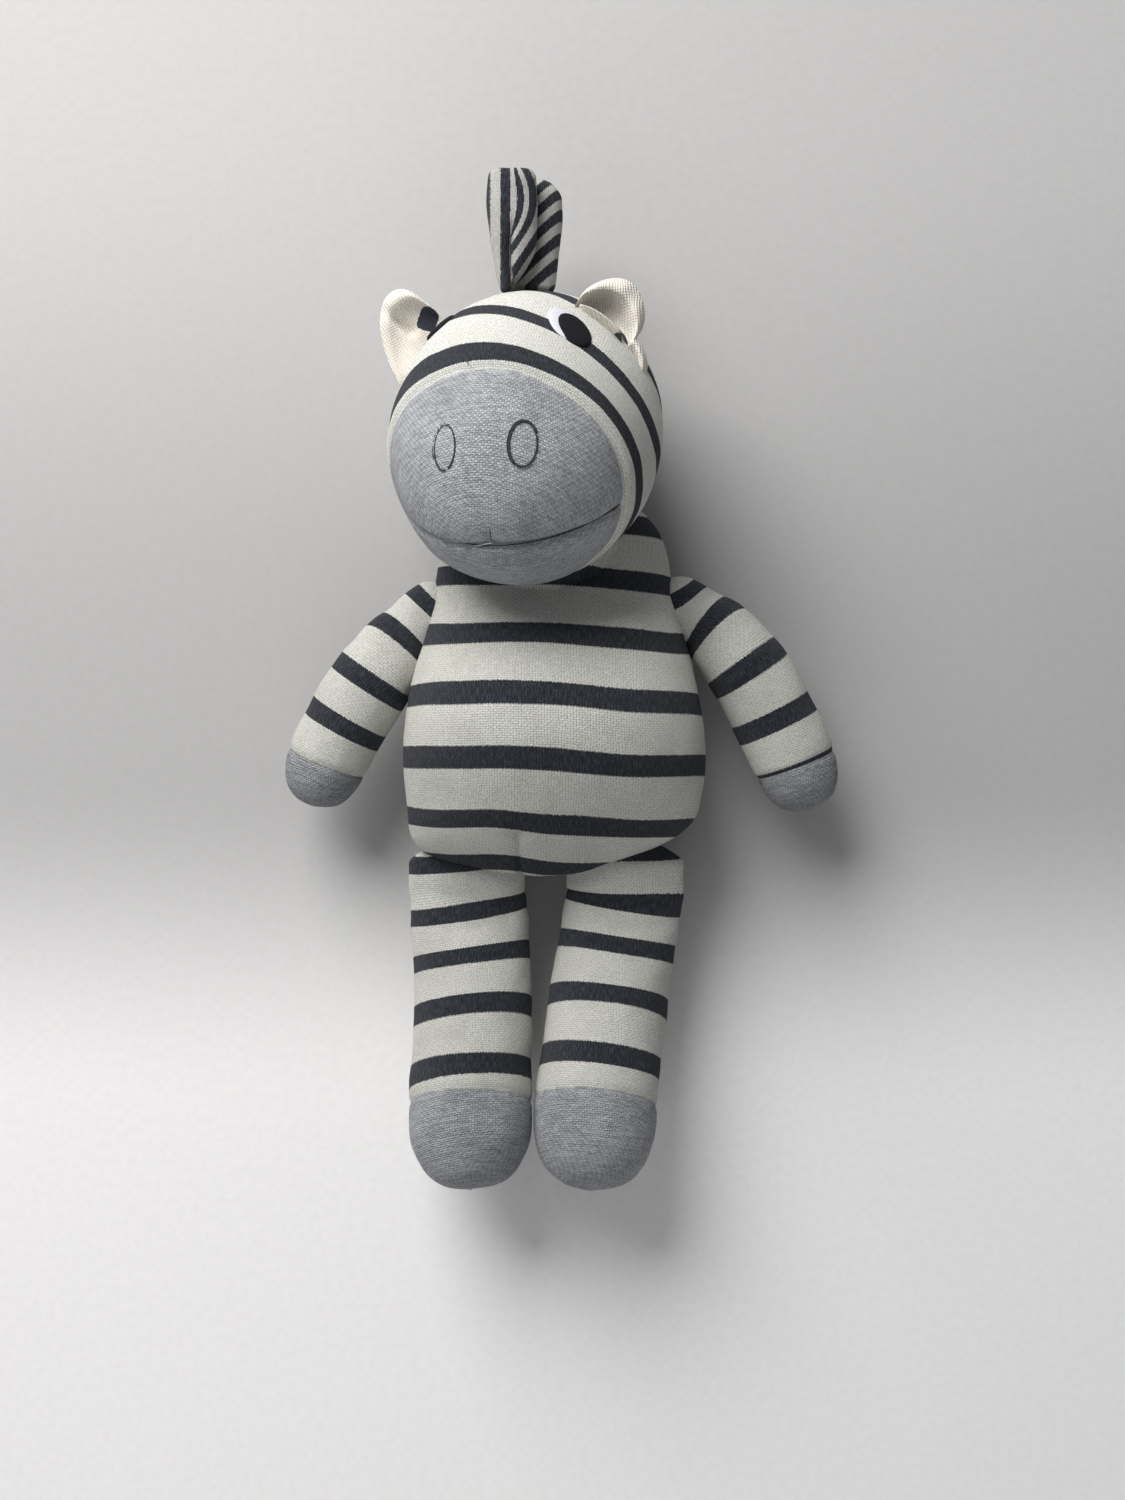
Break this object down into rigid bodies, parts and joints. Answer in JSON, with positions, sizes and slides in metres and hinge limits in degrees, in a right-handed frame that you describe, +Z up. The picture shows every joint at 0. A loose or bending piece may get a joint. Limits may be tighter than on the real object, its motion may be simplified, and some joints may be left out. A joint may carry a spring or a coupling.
{
  "type": "plush zebra",
  "caption": "Soft stuffed zebra of striped knit with a grey muzzle, hands and feet, lying on its back, with a turning head and limbs that swing where they are sewn on",
  "frame": {"origin": "the middle of the flat patch of the back that the toy lies on", "axes": "+X across the toy, to the right of the picture; +Y from the feet to the head; +Z up from the floor, out of the belly"},
  "size_m": [0.2201, 0.397, 0.1249],
  "materials": {
    "striped_knit": "fine jersey knit, cream with charcoal stripes",
    "heather_knit": "blue-grey heather jersey knit",
    "rib_knit": "cream ribbed knit",
    "fine_stripe_knit": "jersey with narrow charcoal and light stripes",
    "filling": "loose polyester fibre filling",
    "thread": "charcoal sewing thread",
    "black_embroidery": "dense black satin stitch",
    "white_embroidery": "dense white satin stitch"
  },
  "bodies": {
    "torso": {"body_cover": "striped_knit", "body_filling": "filling"},
    "neck": {"neck_seam": "thread"},
    "head": {"head_cover": "striped_knit", "muzzle_cover": "heather_knit", "chin_cover": "heather_knit", "head_filling": "filling", "left_eye_dark": "black_embroidery", "left_eye_white": "white_embroidery", "right_eye_dark": "black_embroidery", "right_eye_white": "white_embroidery", "left_nostril_thread": "thread", "right_nostril_thread": "thread", "mouth_thread": "thread", "mouth_crease_thread": "thread"},
    "left_ear": {"left_ear_front": "rib_knit", "left_ear_back": "rib_knit"},
    "right_ear": {"right_ear_front": "rib_knit", "right_ear_back": "rib_knit"},
    "mane": {"mane_front_lobe": "fine_stripe_knit", "mane_rear_lobe": "fine_stripe_knit"},
    "left_shoulder": {"left_shoulder_seam": "thread"},
    "left_arm": {"left_arm_sleeve": "striped_knit", "left_hand_cap": "heather_knit", "left_arm_filling": "filling"},
    "left_hip": {"left_hip_seam": "thread"},
    "left_leg": {"left_leg_sleeve": "striped_knit", "left_foot_cap": "heather_knit", "left_leg_filling": "filling"},
    "right_shoulder": {"right_shoulder_seam": "thread"},
    "right_arm": {"right_arm_sleeve": "striped_knit", "right_hand_cap": "heather_knit", "right_arm_filling": "filling"},
    "right_hip": {"right_hip_seam": "thread"},
    "right_leg": {"right_leg_sleeve": "striped_knit", "right_foot_cap": "heather_knit", "right_leg_filling": "filling"}
  },
  "joints": [
    {"name": "neck_turn", "type": "hinge", "parent": "torso", "child": "neck", "pos_m": [-0.005, 0.076, 0.034], "axis": [-0.1443, 0.7488, 0.6469], "range_deg": [-25, 25]},
    {"name": "head_nod", "type": "hinge", "parent": "neck", "child": "head", "pos_m": [-0.005, 0.076, 0.034], "axis": [1, 0, 0], "range_deg": [-22, 8]},
    {"name": "left_ear_fold", "type": "hinge", "parent": "head", "child": "left_ear", "pos_m": [-0.05163, 0.1443, 0.05091], "axis": [0.5736, 0.8051, -0.1509], "range_deg": [-30, 35]},
    {"name": "right_ear_fold", "type": "hinge", "parent": "head", "child": "right_ear", "pos_m": [0.02454, 0.14338, 0.08192], "axis": [0.6132, -0.7639, 0.201], "range_deg": [-30, 35]},
    {"name": "mane_flop", "type": "hinge", "parent": "head", "child": "mane", "pos_m": [-0.01, 0.1632, 0.047], "axis": [-0.434, 0.2411, 0.868], "range_deg": [-30, 30]},
    {"name": "left_arm_swing", "type": "hinge", "parent": "torso", "child": "left_shoulder", "pos_m": [-0.05, 0.043, 0.033], "axis": [-1, 0, 0], "range_deg": [-35, 100]},
    {"name": "left_arm_raise", "type": "hinge", "parent": "left_shoulder", "child": "left_arm", "pos_m": [-0.05, 0.043, 0.033], "axis": [0, 0, -1], "range_deg": [0, 70]},
    {"name": "left_leg_spread", "type": "hinge", "parent": "torso", "child": "left_hip", "pos_m": [-0.0352, -0.0605, 0.032], "axis": [0, 0, -1], "range_deg": [0, 10]},
    {"name": "left_leg_swing", "type": "hinge", "parent": "left_hip", "child": "left_leg", "pos_m": [-0.0352, -0.0605, 0.032], "axis": [-1, 0, 0], "range_deg": [-18, 55]},
    {"name": "right_arm_swing", "type": "hinge", "parent": "torso", "child": "right_shoulder", "pos_m": [0.05, 0.0445, 0.033], "axis": [-1, 0, 0], "range_deg": [-35, 100]},
    {"name": "right_arm_raise", "type": "hinge", "parent": "right_shoulder", "child": "right_arm", "pos_m": [0.05, 0.0445, 0.033], "axis": [0, 0, 1], "range_deg": [0, 70]},
    {"name": "right_leg_spread", "type": "hinge", "parent": "torso", "child": "right_hip", "pos_m": [0.0274, -0.0605, 0.032], "axis": [0, 0, 1], "range_deg": [0, 10]},
    {"name": "right_leg_swing", "type": "hinge", "parent": "right_hip", "child": "right_leg", "pos_m": [0.0274, -0.0605, 0.032], "axis": [-1, 0, 0], "range_deg": [-18, 55]}
  ]
}
